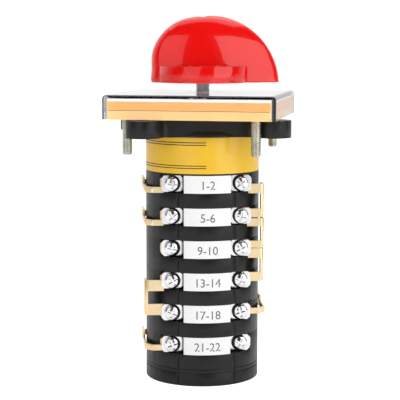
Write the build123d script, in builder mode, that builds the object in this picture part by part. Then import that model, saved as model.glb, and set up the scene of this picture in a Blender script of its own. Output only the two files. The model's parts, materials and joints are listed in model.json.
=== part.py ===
"""Rotary changeover switch: six cam-operated contact stages on one shaft, with a front plate and a knob.

Millimetres, +Z up along the shaft. The origin is the centre of the rear face, and the labels face -Y.
Stage 1 is the one nearest the knob. Right is +X and left is -X, as seen from the label side.
"""
from build123d import *
from math import asin, cos, degrees, radians, sin, sqrt
import os

os.makedirs("parts", exist_ok=True)

# ---- driving dimensions -------------------------------------------------------------------------
stages = 6
body_radius = 21.7
rear_cover_height = 6.5
rear_edge_chamfer = 0.3
rear_step_height = 1.5       # band between the two seams of the rear cover
rear_floor = 2.0             # closed floor under the hub bore
floor_height = 5.5           # closed ring at the bottom of each stage
bay_height = 6.7             # open terminal bay above the ring
mechanism_height = 14.3
flange_thickness = 6.4
plate_stack_gap = 0.3        # between the flange and the front plate that turns on it

# clearances
running = 0.05               # radial, shaft hubs in their bores
sliding = 0.15               # each side of a sliding piece
bolt_clearance = 0.1         # radial, fixed bolts in their holes
cam_clearance = 0.15         # plunger nose to cam
free_gap = 0.3               # between moving pieces that never touch
stacking = 0.05              # each end of the hubs stacked on the shaft
cut_margin = 1.0             # how far a cut reaches past what it cuts

# shaft, cams and hubs
shaft_side = 4.8
shaft_corner = 0.5
socket_fit = 0.04            # each side of the square shaft in its sockets
hub_radius = 4.95
cam_mean_radius = 7.0
handle_throw = 60.0          # degrees each way from the middle position
contact_travel = 1.5         # plunger movement each way over the handle's throw
cam_flank = 60.0             # degrees each side of a plunger that the spiral covers
outline_step = 10.0          # degrees between the points of the cam and detent outlines
cam_height = 5.6
cam_pocket_clearance = 0.5
shaft_end_z = 2.4
clip_groove_depth = 0.4
clip_inset = 1.2             # from the shaft's end to its clip
clip_thickness = 0.8
clip_opening = 2.6
clip_rim = 0.4               # the clip's radius inside that of the hubs
shaft_tap_depth = 9.0

# tie bolts
tie_x = 17.5
tie_radius = 1.5
tie_head_radius = 2.8
tie_head_height = 2.2
tie_nut_radius = 3.1
tie_nut_height = 2.4
tie_end_inset = 0.6          # heads below the rear face and nuts below the flange
tie_tip_inset = 0.4
tie_slot_width = 0.8
tie_slot_depth = 1.0

# terminals
terminal_x = 12.8
seat_y = 13.2                # face of the body that the terminal plates sit on
plate_thickness = 1.0
plate_height = 6.2
plate_inner_x = 9.0
plate_outer_x = 17.2
plate_chamfer = 1.6
tongue_inner_x = 3.9
tongue_height = 3.0
terminal_screw_radius = 1.75
terminal_screw_depth = 5.0
screw_end_clearance = 0.5
terminal_head_radius = 3.0
terminal_head_height = 2.2
terminal_head_taper = 12.0   # degrees
washer_width = 8.0
washer_height = 6.2
washer_thickness = 0.8
washer_corner = 1.0
recess_width = 0.9
recess_length = 3.4
recess_depth = 1.0

# contacts
pad_half_width = 8.8
label_thickness = 0.15
tip_x = 5.0
tip_radius = 1.1
fixed_tip_thickness = 0.8
bridge_tip_thickness = 0.7
bridge_half_width = 6.2
bridge_height = 3.0
bridge_thickness = 0.8
closed_gap = 0.2             # left between the contact faces when closed
plunger_half_width = 1.9
plunger_height = 5.2
plunger_tail = 3.6           # beyond the contact faces of the bridge
plunger_step = 0.3           # from the nose's centre to the full width
nose_radius = 1.0
pocket_half_width = 6.6
pocket_floor = 0.4
well_step = 0.3              # from the contact faces of the bridge to the well's bottom
contact_spring_length = 4.85
spring_end_gap = 0.1
spring_radius = 1.25         # to the middle of the wire
spring_wire = 0.25
spring_turns = 5

# links between terminals
link_thickness = 0.8
link_eye_height = 6.0
link_eye_outer_x = 16.4
link_inner_x = 10.2
link_bend = 1.0
link_chamfer = 0.8
most_layers = 2              # links under one screw
eye_hole_length = 2 * (most_layers + 1) * link_thickness
tab_lap = 1.0                # of a tab and the plate or eye that it runs into
link_clearance = 0.15
web_depth = 6.0
right_web_gap = 0.3          # from the body's side to the outer face of the upright links
left_web_gap = 1.5
strap_height = 2.3
strap_web_gap = 1.3
strap_slant = 2.4
strap_rear_rise = 2.1

# detent mechanism
mechanism_floor = 2.5
mechanism_pocket_radius = 14.0
detent_mean_radius = 8.8
detent_lobe = 0.7
detent_valleys = 6
detent_height = 6.0
detent_rise = 0.6            # from the mechanism's floor to the wheel
detent_pocket_clearance = 0.8
roller_radius = 2.0
roller_length = 4.0
roller_clearance = 0.2       # outside the wheel's lobes
roller_proud = 0.4           # from the roller's centre to its slide's inner end
detent_slide_half_width = 3.5
detent_slide_depth = 3.0
detent_spring_radius = 1.8
detent_spring_turns = 4
detent_pocket_end_y = 18.6
stop_plate_radius = 6.5
stop_plate_thickness = 2.0
stop_lug_reach = 12.0
stop_lug_width = 4.0
stop_peg_radius = 1.5
stop_peg_circle = 11.5
stop_peg_overlap = 1.0       # of the pegs below the stop plate
stop_plate_gap = 0.4         # from the stop plate to the flange

# mounting flange
mount_pitch = 48.0           # square of mounting holes
mount_hole_radius = 2.1
ear_radius = 6.5
flange_half_width = 22.4
flange_lip_radius = 24.2
flange_lip_height = 1.9
flange_lip_chamfer = 1.2
ear_fillet = 3.0
ear_arm_width = 6.4          # joins each ear to the middle

# front plate assembly
front_turn = -15.6           # degrees, as it hangs with its screws beside the ears
plate_margin = 8.0           # from the fixing holes to the side of the front plate
cover_corner = 2.5
cover_wall = 1.8
cover_top = 1.4
cover_edge_round = 1.4
lower_plate_thickness = 3.2
plate_seam = 0.2
upper_plate_thickness = 3.1
dial_thickness = 0.9
stack_fit = 0.05
inner_fit = 0.1              # each side of the plates inside the cover
front_bore_radius = 5.4
mount_screw_radius = 2.0
plate_hole_clearance = 0.4   # radial, the screws hang loosely in the front plate
mount_screw_reach = 6.6      # below the flange
mount_tip_chamfer = 0.35
mount_head_radius = 3.6
mount_head_height = 2.2
mount_head_taper = 10.0      # degrees
mount_head_inset = 0.1

# knob
knob_gap = 3.9               # from the clear cover to the knob
knob_disc_radius = 17.6
knob_disc_height = 6.2
tail_reach = 19.6
tail_wall_height = 10.1
tail_arc_radius = 18.28
tail_top_x = -1.7
tail_top_height = 24.8
nose_top_x = 2.6
nose_top_height = 25.25
nose_arc_radius = 26.84
grip_half_thickness = 8.6    # over the shaft, at the foot
tail_half_thickness = 5.2
tail_round = 2.6             # length of the tail's blunt end
nose_half_thickness = 2.0
nose_round = 1.0
crown_height = 25.1          # where the crown closes
grip_sections = 9
knob_screw_hole_radius = 1.9
knob_screw_head_radius = 1.7
knob_screw_head_height = 2.2
knob_slot_width = 0.7
knob_slot_depth = 1.0
knob_screw_fit = 0.02
knob_screw_engagement = 7.5  # in the shaft
knob_screw_radius = 1.2
knob_screw_seat = 17.5       # above the knob's lower face
socket_depth = 13.0
socket_end_gap = 0.5
knob_skirt_wall = 2.2
knob_hub_radius = 6.5
knob_recess_depth = 3.0

# labels
stage_label_half_width = 8.8
rating_label_thickness = 0.2
rating_label_low_margin = 0.6
rating_label_top_margin = 0.2
rating_label_rear_gap = 50.0  # degrees left open at the rear
label_margin = 0.05
groove_angle = 29.0
groove_radius = 0.25
seam_depth = 0.25
seam_height = 0.3

# ---- derived levels -----------------------------------------------------------------------------
stage_pitch = floor_height + bay_height
stack_top = rear_cover_height + stages * stage_pitch
flange_bottom = stack_top + mechanism_height
flange_top = flange_bottom + flange_thickness
front_bottom = flange_top + plate_stack_gap
lower_plate_top = front_bottom + lower_plate_thickness
upper_plate_bottom = lower_plate_top + plate_seam
upper_plate_top = upper_plate_bottom + upper_plate_thickness
dial_bottom = upper_plate_top + stack_fit
cover_inner_top = dial_bottom + dial_thickness + stack_fit
cover_outer_top = cover_inner_top + cover_top
knob_bottom = cover_outer_top + knob_gap
hub_bore_radius = hub_radius + running
cam_pocket_radius = cam_mean_radius + contact_travel + cam_pocket_clearance
spiral_rate = contact_travel / handle_throw          # mm of plunger travel per degree
cover_side = mount_pitch + 2 * plate_margin
plate_outer_y = seat_y + plate_thickness
rating_label_height = mechanism_height - rating_label_low_margin - rating_label_top_margin

# distances of the moving contacts from the shaft, in the middle position
nose_y = cam_mean_radius + cam_clearance
bridge_tip_face = seat_y - fixed_tip_thickness - closed_gap - contact_travel
bridge_outer = bridge_tip_face - bridge_tip_thickness
bridge_inner = bridge_outer - bridge_thickness
plunger_outer = bridge_tip_face + plunger_tail
well_bottom = bridge_tip_face + well_step
spring_inner = well_bottom + contact_travel + spring_end_gap
pocket_end_y = spring_inner + contact_spring_length + stacking

FRONT = -1
REAR = 1
RIGHT = 1
LEFT = -1

# stages whose terminals carry a link, as (side, upper stage, layer, upper tab, lower tab);
# a tab is given by its lower and upper edge from the terminal's centre
upright_links = {
    "link_right_1_2": (RIGHT, 1, 0, (-4.0, -0.4), (-0.9, 2.4)),
    "link_right_2_3": (RIGHT, 2, 1, (-4.2, -1.2), (-0.2, 2.5)),
    "link_right_3_4": (RIGHT, 3, 0, (-4.2, -0.5), (-0.9, 2.6)),
    "link_left_4_5": (LEFT, 4, 0, (-4.2, 0.0), (-1.2, 3.1)),
}
# straps from a front terminal round the side to the rear one, as (side, stage, height of its centre)
side_straps = {
    "strap_left_1": (LEFT, 1, -2.4),
    "strap_left_2": (LEFT, 2, -2.6),
    "strap_left_6": (LEFT, 6, -1.5),
    "strap_right_5": (RIGHT, 5, -0.1),
}


def stage_bottom(stage):
    """Height of the lower face of a stage, counted from the knob end."""
    return rear_cover_height + (stages - stage) * stage_pitch


def terminal_z(stage):
    """Height of the terminal screws of a stage."""
    return stage_bottom(stage) + floor_height + bay_height / 2


def link_layers(side, face, stage):
    """How many link thicknesses lie under the screw of a terminal."""
    layers = 0
    for link_side, upper_stage, layer, upper_tab, lower_tab in upright_links.values():
        if face == FRONT and side == link_side and stage in (upper_stage, upper_stage + 1):
            layers = max(layers, layer + 1)
    for strap_side, strap_stage, centre in side_straps.values():
        if side == strap_side and stage == strap_stage:
            layers = max(layers, 1)
    return layers


def polar(radius, angle):
    """Point at a radius and an angle in degrees."""
    return (radius * cos(radians(angle)), radius * sin(radians(angle)))


def body_section(plane, radius):
    """Round body outline with a shallow mould groove each side of the front and rear pads."""
    angles = [90 * face + side * groove_angle for face in (FRONT, REAR) for side in (LEFT, RIGHT)]
    with BuildSketch(plane) as section:
        Circle(radius)
        with Locations(*[polar(radius, angle) for angle in angles]):
            Circle(groove_radius, mode=Mode.SUBTRACT)
    return section.sketch


def seam(height):
    """Fine groove round the body, where two mouldings meet or step."""
    with BuildSketch(Plane.XY.offset(height - seam_height / 2)) as band:
        Circle(body_radius + cut_margin)
        Circle(body_radius - seam_depth, mode=Mode.SUBTRACT)
    extrude(band.sketch, amount=seam_height, mode=Mode.SUBTRACT)


def bore(height, depth, radius, points=((0, 0),)):
    """Round holes upward from a height."""
    with BuildSketch(Plane.XY.offset(height)) as holes:
        with Locations(*points):
            Circle(radius)
    extrude(holes.sketch, amount=depth, mode=Mode.SUBTRACT)


def square_socket(height, depth):
    """Square hole for the shaft."""
    with BuildSketch(Plane.XY.offset(height)) as socket:
        Rectangle(shaft_side + 2 * socket_fit, shaft_side + 2 * socket_fit)
    extrude(socket.sketch, amount=depth, mode=Mode.SUBTRACT)


tie_points = [(-tie_x, 0), (tie_x, 0)]

# ---- rear cover ---------------------------------------------------------------------------------
with BuildPart() as rear_cover:
    extrude(body_section(Plane.XY, body_radius), amount=rear_cover_height)
    rim = rear_cover.faces().sort_by(Axis.Z)[0].edges().filter_by(GeomType.CIRCLE)
    chamfer(rim.sort_by(SortBy.RADIUS)[-4:], rear_edge_chamfer)
    seam(rear_cover_height)
    seam(rear_cover_height - rear_step_height)
    bore(rear_floor, rear_cover_height, hub_bore_radius + free_gap)
    bore(0, rear_cover_height, tie_radius + bolt_clearance, tie_points)
    bore(0, tie_head_height + tie_end_inset, tie_head_radius + free_gap, tie_points)
rear_cover.part.label = "rear_cover"
export_step(rear_cover.part, "parts/rear_cover.step")

# ---- stage housings -----------------------------------------------------------------------------
corner_block = body_radius
for stage in range(1, stages + 1):
    bottom = stage_bottom(stage)
    with BuildPart() as stage_housing:
        extrude(body_section(Plane.XY.offset(bottom), body_radius), amount=floor_height)
        bay_plane = Plane.XY.offset(bottom + floor_height)
        extrude(body_section(bay_plane, body_radius - label_thickness), amount=bay_height)
        # the side walls reach the full radius, the label pads stay a label's thickness inside it
        with BuildSketch(bay_plane):
            Circle(body_radius)
            Rectangle(2 * body_radius, 2 * seat_y, mode=Mode.INTERSECT)
        extrude(amount=bay_height)
        # four terminal bays
        with BuildSketch(bay_plane):
            with GridLocations(2 * pad_half_width + corner_block, 2 * seat_y + corner_block, 2, 2):
                Rectangle(corner_block, corner_block)
        extrude(amount=bay_height, mode=Mode.SUBTRACT)
        # shaft bore, cam pocket and the pockets for the plungers
        bore(bottom, stage_pitch, hub_bore_radius)
        bore(bottom + floor_height, bay_height, cam_pocket_radius)
        with BuildSketch(bay_plane.offset(pocket_floor)):
            Rectangle(2 * pocket_half_width, 2 * pocket_end_y)
        extrude(amount=bay_height, mode=Mode.SUBTRACT)
        # slots that the fixed contact tongues pass through
        slot_bottom = terminal_z(stage) - tongue_height / 2
        with BuildSketch(Plane.XY.offset(slot_bottom)):
            with Locations((0, seat_y + plate_thickness / 2), (0, -seat_y - plate_thickness / 2)):
                Rectangle(2 * plate_inner_x, plate_thickness)
        extrude(amount=stage_pitch, mode=Mode.SUBTRACT)
        # clearance for the ends of the terminal screws
        for side in (LEFT, RIGHT):
            for face in (FRONT, REAR):
                depth = terminal_screw_depth + screw_end_clearance
                radius = terminal_screw_radius + bolt_clearance
                with Locations((side * terminal_x, face * (seat_y - depth / 2), terminal_z(stage))):
                    Cylinder(radius, depth, rotation=(90, 0, 0), mode=Mode.SUBTRACT)
        bore(bottom, stage_pitch, tie_radius + bolt_clearance, tie_points)
    stage_housing.part.label = f"stage_housing_{stage}"
    export_step(stage_housing.part, f"parts/stage_housing_{stage}.step")

# ---- mechanism housing, behind the flange -------------------------------------------------------
detent_z = stack_top + mechanism_floor + detent_rise
roller_y = detent_mean_radius + detent_lobe + roller_clearance + roller_radius
with BuildPart() as mechanism_housing:
    with BuildSketch(Plane.XY.offset(stack_top)):
        Circle(body_radius)
    extrude(amount=mechanism_height)
    # shallow band that the rating label lies in
    with BuildSketch(Plane.XY.offset(stack_top + rating_label_low_margin)):
        Circle(body_radius + cut_margin)
        Circle(body_radius - rating_label_thickness, mode=Mode.SUBTRACT)
    extrude(amount=rating_label_height, mode=Mode.SUBTRACT)
    bore(stack_top, mechanism_height, hub_bore_radius)
    bore(stack_top + mechanism_floor, mechanism_height, mechanism_pocket_radius)
    with BuildSketch(Plane.XY.offset(stack_top + mechanism_floor)):
        Rectangle(2 * (detent_slide_half_width + sliding), 2 * detent_pocket_end_y)
    extrude(amount=detent_rise + detent_height + detent_pocket_clearance, mode=Mode.SUBTRACT)
    bore(stack_top, mechanism_height, tie_radius + bolt_clearance, tie_points)
mechanism_housing.part.label = "mechanism_housing"
export_step(mechanism_housing.part, "parts/mechanism_housing.step")

# ---- mounting flange ----------------------------------------------------------------------------
tie_nut_z = flange_top - tie_nut_height - tie_end_inset
stop_angle = degrees(asin((stop_lug_width / 2 + stop_peg_radius + sliding) / stop_peg_circle))
peg_angles = (handle_throw + stop_angle, -handle_throw - stop_angle)
peg_length = stop_plate_gap + stop_plate_thickness + stop_peg_overlap
with BuildPart() as mounting_flange:
    with BuildSketch(Plane.XY.offset(flange_bottom)) as flange_outline:
        Rectangle(2 * flange_half_width, 2 * flange_half_width)
        for slope in (45, -45):
            Rectangle(mount_pitch * sqrt(2), ear_arm_width, rotation=slope)
        with GridLocations(mount_pitch, mount_pitch, 2, 2):
            Circle(ear_radius)
        fillet(flange_outline.vertices(), ear_fillet)
    extrude(amount=flange_thickness)
    with BuildSketch(Plane.XY.offset(flange_bottom)):
        Circle(flange_lip_radius)
    extrude(amount=flange_lip_height)
    lip_edges = mounting_flange.edges().filter_by(GeomType.CIRCLE)
    lip_edges = lip_edges.filter_by(lambda e: abs(e.radius - flange_lip_radius) < 0.01)
    chamfer(lip_edges.filter_by(lambda e: e.center().Z > flange_bottom + flange_lip_height / 2), flange_lip_chamfer)
    with GridLocations(mount_pitch, mount_pitch, 2, 2):
        with Locations((0, 0, flange_top)):
            Hole(mount_hole_radius, depth=flange_thickness)
    bore(flange_bottom, flange_thickness, hub_bore_radius)
    bore(flange_bottom, flange_thickness, tie_radius + bolt_clearance, tie_points)
    bore(tie_nut_z, flange_thickness, tie_nut_radius + free_gap, tie_points)
    with BuildSketch(Plane.XY.offset(flange_bottom)):
        with Locations(*[polar(stop_peg_circle, angle) for angle in peg_angles]):
            Circle(stop_peg_radius)
    extrude(amount=-peg_length)
mounting_flange.part.label = "mounting_flange"
export_step(mounting_flange.part, "parts/mounting_flange.step")

# ---- labels -------------------------------------------------------------------------------------
with BuildPart() as rating_label:
    with BuildSketch(Plane.XY.offset(stack_top + rating_label_low_margin)):
        Circle(body_radius)
        Circle(body_radius - rating_label_thickness, mode=Mode.SUBTRACT)
        gap_half_width = body_radius * sin(radians(rating_label_rear_gap / 2))
        with Locations((0, body_radius)):
            Rectangle(2 * gap_half_width, body_radius, mode=Mode.SUBTRACT)
    extrude(amount=rating_label_height)
rating_label.part.label = "rating_label"
export_step(rating_label.part, "parts/rating_label.step")

with BuildPart() as stage_labels:
    for stage in range(1, stages + 1):
        with BuildSketch(Plane.XY.offset(stage_bottom(stage) + floor_height + label_margin)):
            Circle(body_radius)
            Circle(body_radius - label_thickness, mode=Mode.SUBTRACT)
            with Locations((0, -body_radius)):
                Rectangle(2 * stage_label_half_width, body_radius, mode=Mode.INTERSECT)
        extrude(amount=bay_height - 2 * label_margin)
stage_labels.part.label = "stage_labels"
export_step(stage_labels.part, "parts/stage_labels.step")

# ---- tie bolts ----------------------------------------------------------------------------------
with BuildPart() as tie_bolts:
    head_plane = Plane.XY.offset(tie_end_inset)
    with BuildSketch(head_plane):
        with Locations(*tie_points):
            Circle(tie_head_radius)
    extrude(amount=tie_head_height)
    with BuildSketch(head_plane.offset(tie_head_height)):
        with Locations(*tie_points):
            Circle(tie_radius)
    extrude(amount=flange_top - tie_tip_inset - tie_end_inset - tie_head_height)
    with BuildSketch(head_plane):
        with Locations(*tie_points):
            Rectangle(2 * tie_head_radius, tie_slot_width)
    extrude(amount=tie_slot_depth, mode=Mode.SUBTRACT)
tie_bolts.part.label = "tie_bolts"
export_step(tie_bolts.part, "parts/tie_bolts.step")

with BuildPart() as tie_nuts:
    with BuildSketch(Plane.XY.offset(tie_nut_z)):
        with Locations(*tie_points):
            RegularPolygon(tie_nut_radius, 6)
            Circle(tie_radius, mode=Mode.SUBTRACT)
    extrude(amount=tie_nut_height)
tie_nuts.part.label = "tie_nuts"
export_step(tie_nuts.part, "parts/tie_nuts.step")

# ---- terminals ----------------------------------------------------------------------------------
def terminal_plane(side, face, stage, distance):
    """Plane facing out of a terminal, at a distance from the body's middle plane."""
    screw_point = (side * terminal_x, face * distance, terminal_z(stage))
    return Plane(origin=screw_point, x_dir=(1, 0, 0), z_dir=(0, face, 0))


def washer_seat(side, face, stage):
    """Distance of a terminal's washer from the body's middle plane, on its plate and links."""
    return plate_outer_y + link_layers(side, face, stage) * link_thickness


for face, face_name in ((FRONT, "front"), (REAR, "rear")):
    with BuildPart() as terminal_plates:
        for stage in range(1, stages + 1):
            for side in (LEFT, RIGHT):
                # the plate and its contact tongue, about the terminal's screw
                with BuildSketch(terminal_plane(side, face, stage, plate_outer_y)) as plate:
                    plate_width = plate_outer_x - plate_inner_x
                    plate_middle = plate_inner_x + plate_width / 2 - terminal_x
                    with Locations((side * plate_middle, 0)):
                        Rectangle(plate_width, plate_height)
                    tongue_width = plate_inner_x - tongue_inner_x + tab_lap
                    tongue_middle = tongue_inner_x + tongue_width / 2 - terminal_x
                    with Locations((side * tongue_middle, 0)):
                        Rectangle(tongue_width, tongue_height)
                    chamfer(plate.vertices().group_by(Axis.X)[-1 if side == RIGHT else 0], plate_chamfer)
                    Circle(terminal_screw_radius, mode=Mode.SUBTRACT)
                extrude(amount=-plate_thickness)
    terminal_plates.part.label = f"{face_name}_terminal_plates"
    export_step(terminal_plates.part, f"parts/{face_name}_terminal_plates.step")

    with BuildPart() as terminal_washers:
        for stage in range(1, stages + 1):
            for side in (LEFT, RIGHT):
                seat = washer_seat(side, face, stage)
                with BuildSketch(terminal_plane(side, face, stage, seat)) as washer:
                    Rectangle(washer_width, washer_height)
                    chamfer(washer.vertices(), washer_corner)
                    Circle(terminal_screw_radius, mode=Mode.SUBTRACT)
                extrude(amount=washer_thickness)
    terminal_washers.part.label = f"{face_name}_terminal_washers"
    export_step(terminal_washers.part, f"parts/{face_name}_terminal_washers.step")

    with BuildPart() as terminal_screws:
        for stage in range(1, stages + 1):
            for side in (LEFT, RIGHT):
                seat = washer_seat(side, face, stage) + washer_thickness
                plane = terminal_plane(side, face, stage, seat)
                with BuildSketch(plane):
                    Circle(terminal_head_radius)
                extrude(amount=terminal_head_height, taper=terminal_head_taper)
                with BuildSketch(plane):
                    Circle(terminal_screw_radius)
                extrude(amount=-(seat - seat_y + terminal_screw_depth))
                with BuildSketch(plane.offset(terminal_head_height - recess_depth)):
                    Rectangle(recess_length, recess_width)
                    Rectangle(recess_width, recess_length)
                extrude(amount=terminal_head_height, mode=Mode.SUBTRACT)
    terminal_screws.part.label = f"{face_name}_terminal_screws"
    export_step(terminal_screws.part, f"parts/{face_name}_terminal_screws.step")

with BuildPart() as fixed_contact_tips:
    for stage in range(1, stages + 1):
        for side in (LEFT, RIGHT):
            for face in (FRONT, REAR):
                tip_y = face * (seat_y - fixed_tip_thickness / 2)
                with Locations((side * tip_x, tip_y, terminal_z(stage))):
                    Cylinder(tip_radius, fixed_tip_thickness, rotation=(90, 0, 0))
fixed_contact_tips.part.label = "fixed_contact_tips"
export_step(fixed_contact_tips.part, "parts/fixed_contact_tips.step")


# ---- links --------------------------------------------------------------------------------------
def eye(side, face, stage, layer):
    """The eye of a link, under the screw of a terminal."""
    plane = terminal_plane(side, face, stage, plate_outer_y + layer * link_thickness)
    width = link_eye_outer_x - link_inner_x
    with BuildSketch(plane) as outline:
        with Locations((side * (link_inner_x + width / 2 - terminal_x), 0)):
            Rectangle(width, link_eye_height)
        chamfer(outline.vertices().group_by(Axis.X)[-1 if side == RIGHT else 0], link_chamfer)
    extrude(outline.sketch, amount=link_thickness)


def eye_hole(side, face, stage):
    """Screw hole through the eye."""
    with Locations((side * terminal_x, face * plate_outer_y, terminal_z(stage))):
        Cylinder(terminal_screw_radius, eye_hole_length, rotation=(90, 0, 0), mode=Mode.SUBTRACT)


def clear_of_ring(stage):
    """Trim a tab where it passes the ring below its bay."""
    bay_floor = stage_bottom(stage) + floor_height
    with BuildSketch(Plane.XY.offset(bay_floor + link_clearance)) as ring:
        Circle(body_radius + link_clearance)
    extrude(ring.sketch, amount=-floor_height, mode=Mode.SUBTRACT)


for name, (side, stage, layer, upper_tab, lower_tab) in upright_links.items():
    web_outer = body_radius + (right_web_gap if side == RIGHT else left_web_gap)
    middle_y = -(plate_outer_y + (layer + 0.5) * link_thickness)
    middle_x = side * (web_outer - link_thickness / 2)
    low = terminal_z(stage + 1) + lower_tab[0]
    high = terminal_z(stage) + upper_tab[1]
    with BuildPart() as upright_link:
        with BuildSketch(Plane.XY.offset(low)):
            with BuildLine():
                tab_start = (side * (link_eye_outer_x - tab_lap), middle_y)
                web_end = (middle_x, middle_y + web_depth)
                FilletPolyline(tab_start, (middle_x, middle_y), web_end, radius=link_bend)
            trace(line_width=link_thickness)
        extrude(amount=high - low)
        # between the two tabs only the upright web is left
        gap_bottom = terminal_z(stage + 1) + lower_tab[1]
        gap_top = terminal_z(stage) + upper_tab[0]
        with BuildSketch(Plane.XY.offset(gap_bottom)):
            cut_width = web_outer - link_thickness
            with Locations((side * (cut_width / 2 - link_bend / 2), middle_y)):
                Rectangle(cut_width, 3 * link_thickness)
        extrude(amount=gap_top - gap_bottom, mode=Mode.SUBTRACT)
        eye(side, FRONT, stage, layer)
        eye(side, FRONT, stage + 1, layer)
        eye_hole(side, FRONT, stage)
        eye_hole(side, FRONT, stage + 1)
        clear_of_ring(stage)
    upright_link.part.label = name
    export_step(upright_link.part, f"parts/{name}.step")

for name, (side, stage, centre) in side_straps.items():
    middle_y = plate_outer_y + link_thickness / 2
    middle_x = body_radius + strap_web_gap - link_thickness / 2
    start_x = link_eye_outer_x - tab_lap
    low = terminal_z(stage) + centre - strap_height / 2
    route = [
        (side * start_x, -middle_y),
        (side * (middle_x - strap_slant), -middle_y),
        (side * middle_x, -middle_y + strap_slant),
        (side * middle_x, middle_y - strap_slant),
        (side * (middle_x - strap_slant), middle_y),
        (side * start_x, middle_y),
    ]
    with BuildPart() as side_strap:
        with BuildSketch(Plane.XY.offset(low)):
            with BuildLine():
                FilletPolyline(*route, radius=link_bend)
            trace(line_width=link_thickness)
        extrude(amount=strap_height)
        # the rear half of the web is wider
        with BuildSketch(Plane.XY.offset(low)):
            with Locations((side * middle_x, middle_y / 2 - strap_slant)):
                Rectangle(link_thickness, middle_y - strap_slant)
        extrude(amount=strap_height + strap_rear_rise)
        for face in (FRONT, REAR):
            eye(side, face, stage, 0)
            eye_hole(side, face, stage)
        clear_of_ring(stage)
    side_strap.part.label = name
    export_step(side_strap.part, f"parts/{name}.step")

# ---- moving contacts ----------------------------------------------------------------------------
def coil(radius, wire, length, turns):
    """Closed-section coil spring from the XY plane upwards, its outline from 0 to length."""
    rise = length - 2 * wire
    with BuildPart() as spring:
        with BuildLine():
            path = Helix(pitch=rise / turns, height=rise, radius=radius)
        with BuildSketch(Plane(origin=path @ 0, z_dir=path % 0)):
            Circle(wire)
        sweep(path=path, is_frenet=True)
    return spring.part


for face, face_name in ((FRONT, "front"), (REAR, "rear")):
    with BuildPart() as plungers:
        for stage in range(1, stages + 1):
            middle = terminal_z(stage)
            with BuildSketch(Plane.XY.offset(middle - plunger_height / 2)):
                with Locations((0, face * (nose_y + nose_radius))):
                    Circle(nose_radius)
                shoulder = nose_y + nose_radius + 2 * plunger_step
                with Locations((0, face * (shoulder + plunger_outer) / 2)):
                    Rectangle(2 * plunger_half_width, plunger_outer - shoulder)
                with Locations((0, face * (shoulder - plunger_step))):
                    Rectangle(2 * nose_radius, 2 * plunger_step)
            extrude(amount=plunger_height)
            slot_width = 2 * (plunger_half_width + cut_margin)
            with Locations((0, face * (bridge_inner + bridge_thickness / 2), middle)):
                Box(slot_width, bridge_thickness, bridge_height, mode=Mode.SUBTRACT)
            well_depth = plunger_outer - well_bottom
            with Locations((0, face * (well_bottom + well_depth / 2), middle)):
                well_radius = spring_radius + spring_wire + spring_end_gap
                Cylinder(well_radius, well_depth, rotation=(90, 0, 0), mode=Mode.SUBTRACT)
    plungers.part.label = f"{face_name}_plungers"
    export_step(plungers.part, f"parts/{face_name}_plungers.step")

    with BuildPart() as bridges:
        for stage in range(1, stages + 1):
            with Locations((0, face * (bridge_inner + bridge_thickness / 2), terminal_z(stage))):
                Box(2 * bridge_half_width, bridge_thickness, bridge_height)
    bridges.part.label = f"{face_name}_contact_bridges"
    export_step(bridges.part, f"parts/{face_name}_contact_bridges.step")

    with BuildPart() as bridge_tips:
        for stage in range(1, stages + 1):
            for side in (LEFT, RIGHT):
                tip_y = face * (bridge_outer + bridge_tip_thickness / 2)
                with Locations((side * tip_x, tip_y, terminal_z(stage))):
                    Cylinder(tip_radius, bridge_tip_thickness, rotation=(90, 0, 0))
    bridge_tips.part.label = f"{face_name}_bridge_tips"
    export_step(bridge_tips.part, f"parts/{face_name}_bridge_tips.step")

    one_spring = coil(spring_radius, spring_wire, contact_spring_length, spring_turns)
    with BuildPart() as contact_springs:
        for stage in range(1, stages + 1):
            base = face * (spring_inner + spring_wire)
            spring_plane = Plane(origin=(0, base, terminal_z(stage)), x_dir=(1, 0, 0), z_dir=(0, face, 0))
            with Locations(spring_plane):
                add(one_spring)
    contact_springs.part.label = f"{face_name}_contact_springs"
    export_step(contact_springs.part, f"parts/{face_name}_contact_springs.step")

# ---- shaft and cams -----------------------------------------------------------------------------
shaft_top = knob_bottom + socket_depth - socket_end_gap
clip_bottom = shaft_end_z + clip_inset
with BuildPart() as shaft:
    with BuildSketch(Plane.XY.offset(shaft_end_z)) as shaft_section:
        Rectangle(shaft_side, shaft_side)
        chamfer(shaft_section.vertices(), shaft_corner)
    extrude(amount=shaft_top - shaft_end_z)
    with BuildSketch(Plane.XY.offset(clip_bottom)):
        Rectangle(2 * shaft_side, 2 * shaft_side)
        Circle(shaft_side / 2 - clip_groove_depth, mode=Mode.SUBTRACT)
    extrude(amount=clip_thickness, mode=Mode.SUBTRACT)
    bore(shaft_top - shaft_tap_depth, 2 * shaft_tap_depth, knob_screw_radius)
shaft.part.label = "shaft"
export_step(shaft.part, "parts/shaft.step")

with BuildPart() as retaining_clip:
    with BuildSketch(Plane.XY.offset(clip_bottom)):
        Circle(hub_radius - clip_rim)
        Circle(shaft_side / 2 - clip_groove_depth, mode=Mode.SUBTRACT)
        with Locations((hub_radius, 0)):
            Rectangle(2 * hub_radius, clip_opening, mode=Mode.SUBTRACT)
    extrude(amount=clip_thickness)
retaining_clip.part.label = "retaining_clip"
export_step(retaining_clip.part, "parts/retaining_clip.step")

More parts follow.
